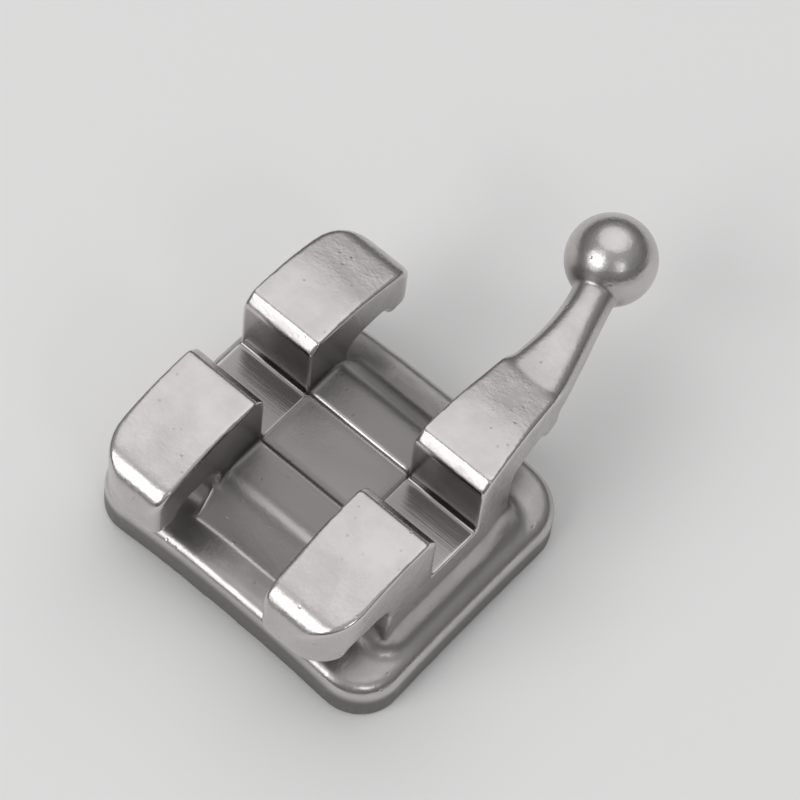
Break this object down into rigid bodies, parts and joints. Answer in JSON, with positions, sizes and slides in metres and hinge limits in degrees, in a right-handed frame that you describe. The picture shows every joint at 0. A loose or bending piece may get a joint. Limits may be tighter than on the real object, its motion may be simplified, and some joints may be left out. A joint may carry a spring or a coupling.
{
  "type": "orthodontic bracket",
  "caption": "Twin-wing orthodontic bracket with an archwire slot, tie wings, a ball hook and a curved bonding pad with a studded back.",
  "frame": {"origin": "centre of the bonding pad's underside, on its flat centre land", "axes": "+X distal along the archwire slot, +Y gingival towards the ball hook, +Z labial, away from the tooth"},
  "size_m": [0.0032, 0.0048, 0.0017],
  "materials": {
    "steel": "moulded stainless steel, tumbled to a satin polish, brighter along its edges"
  },
  "bodies": {
    "root": {"bracket": "steel"}
  },
  "joints": []
}
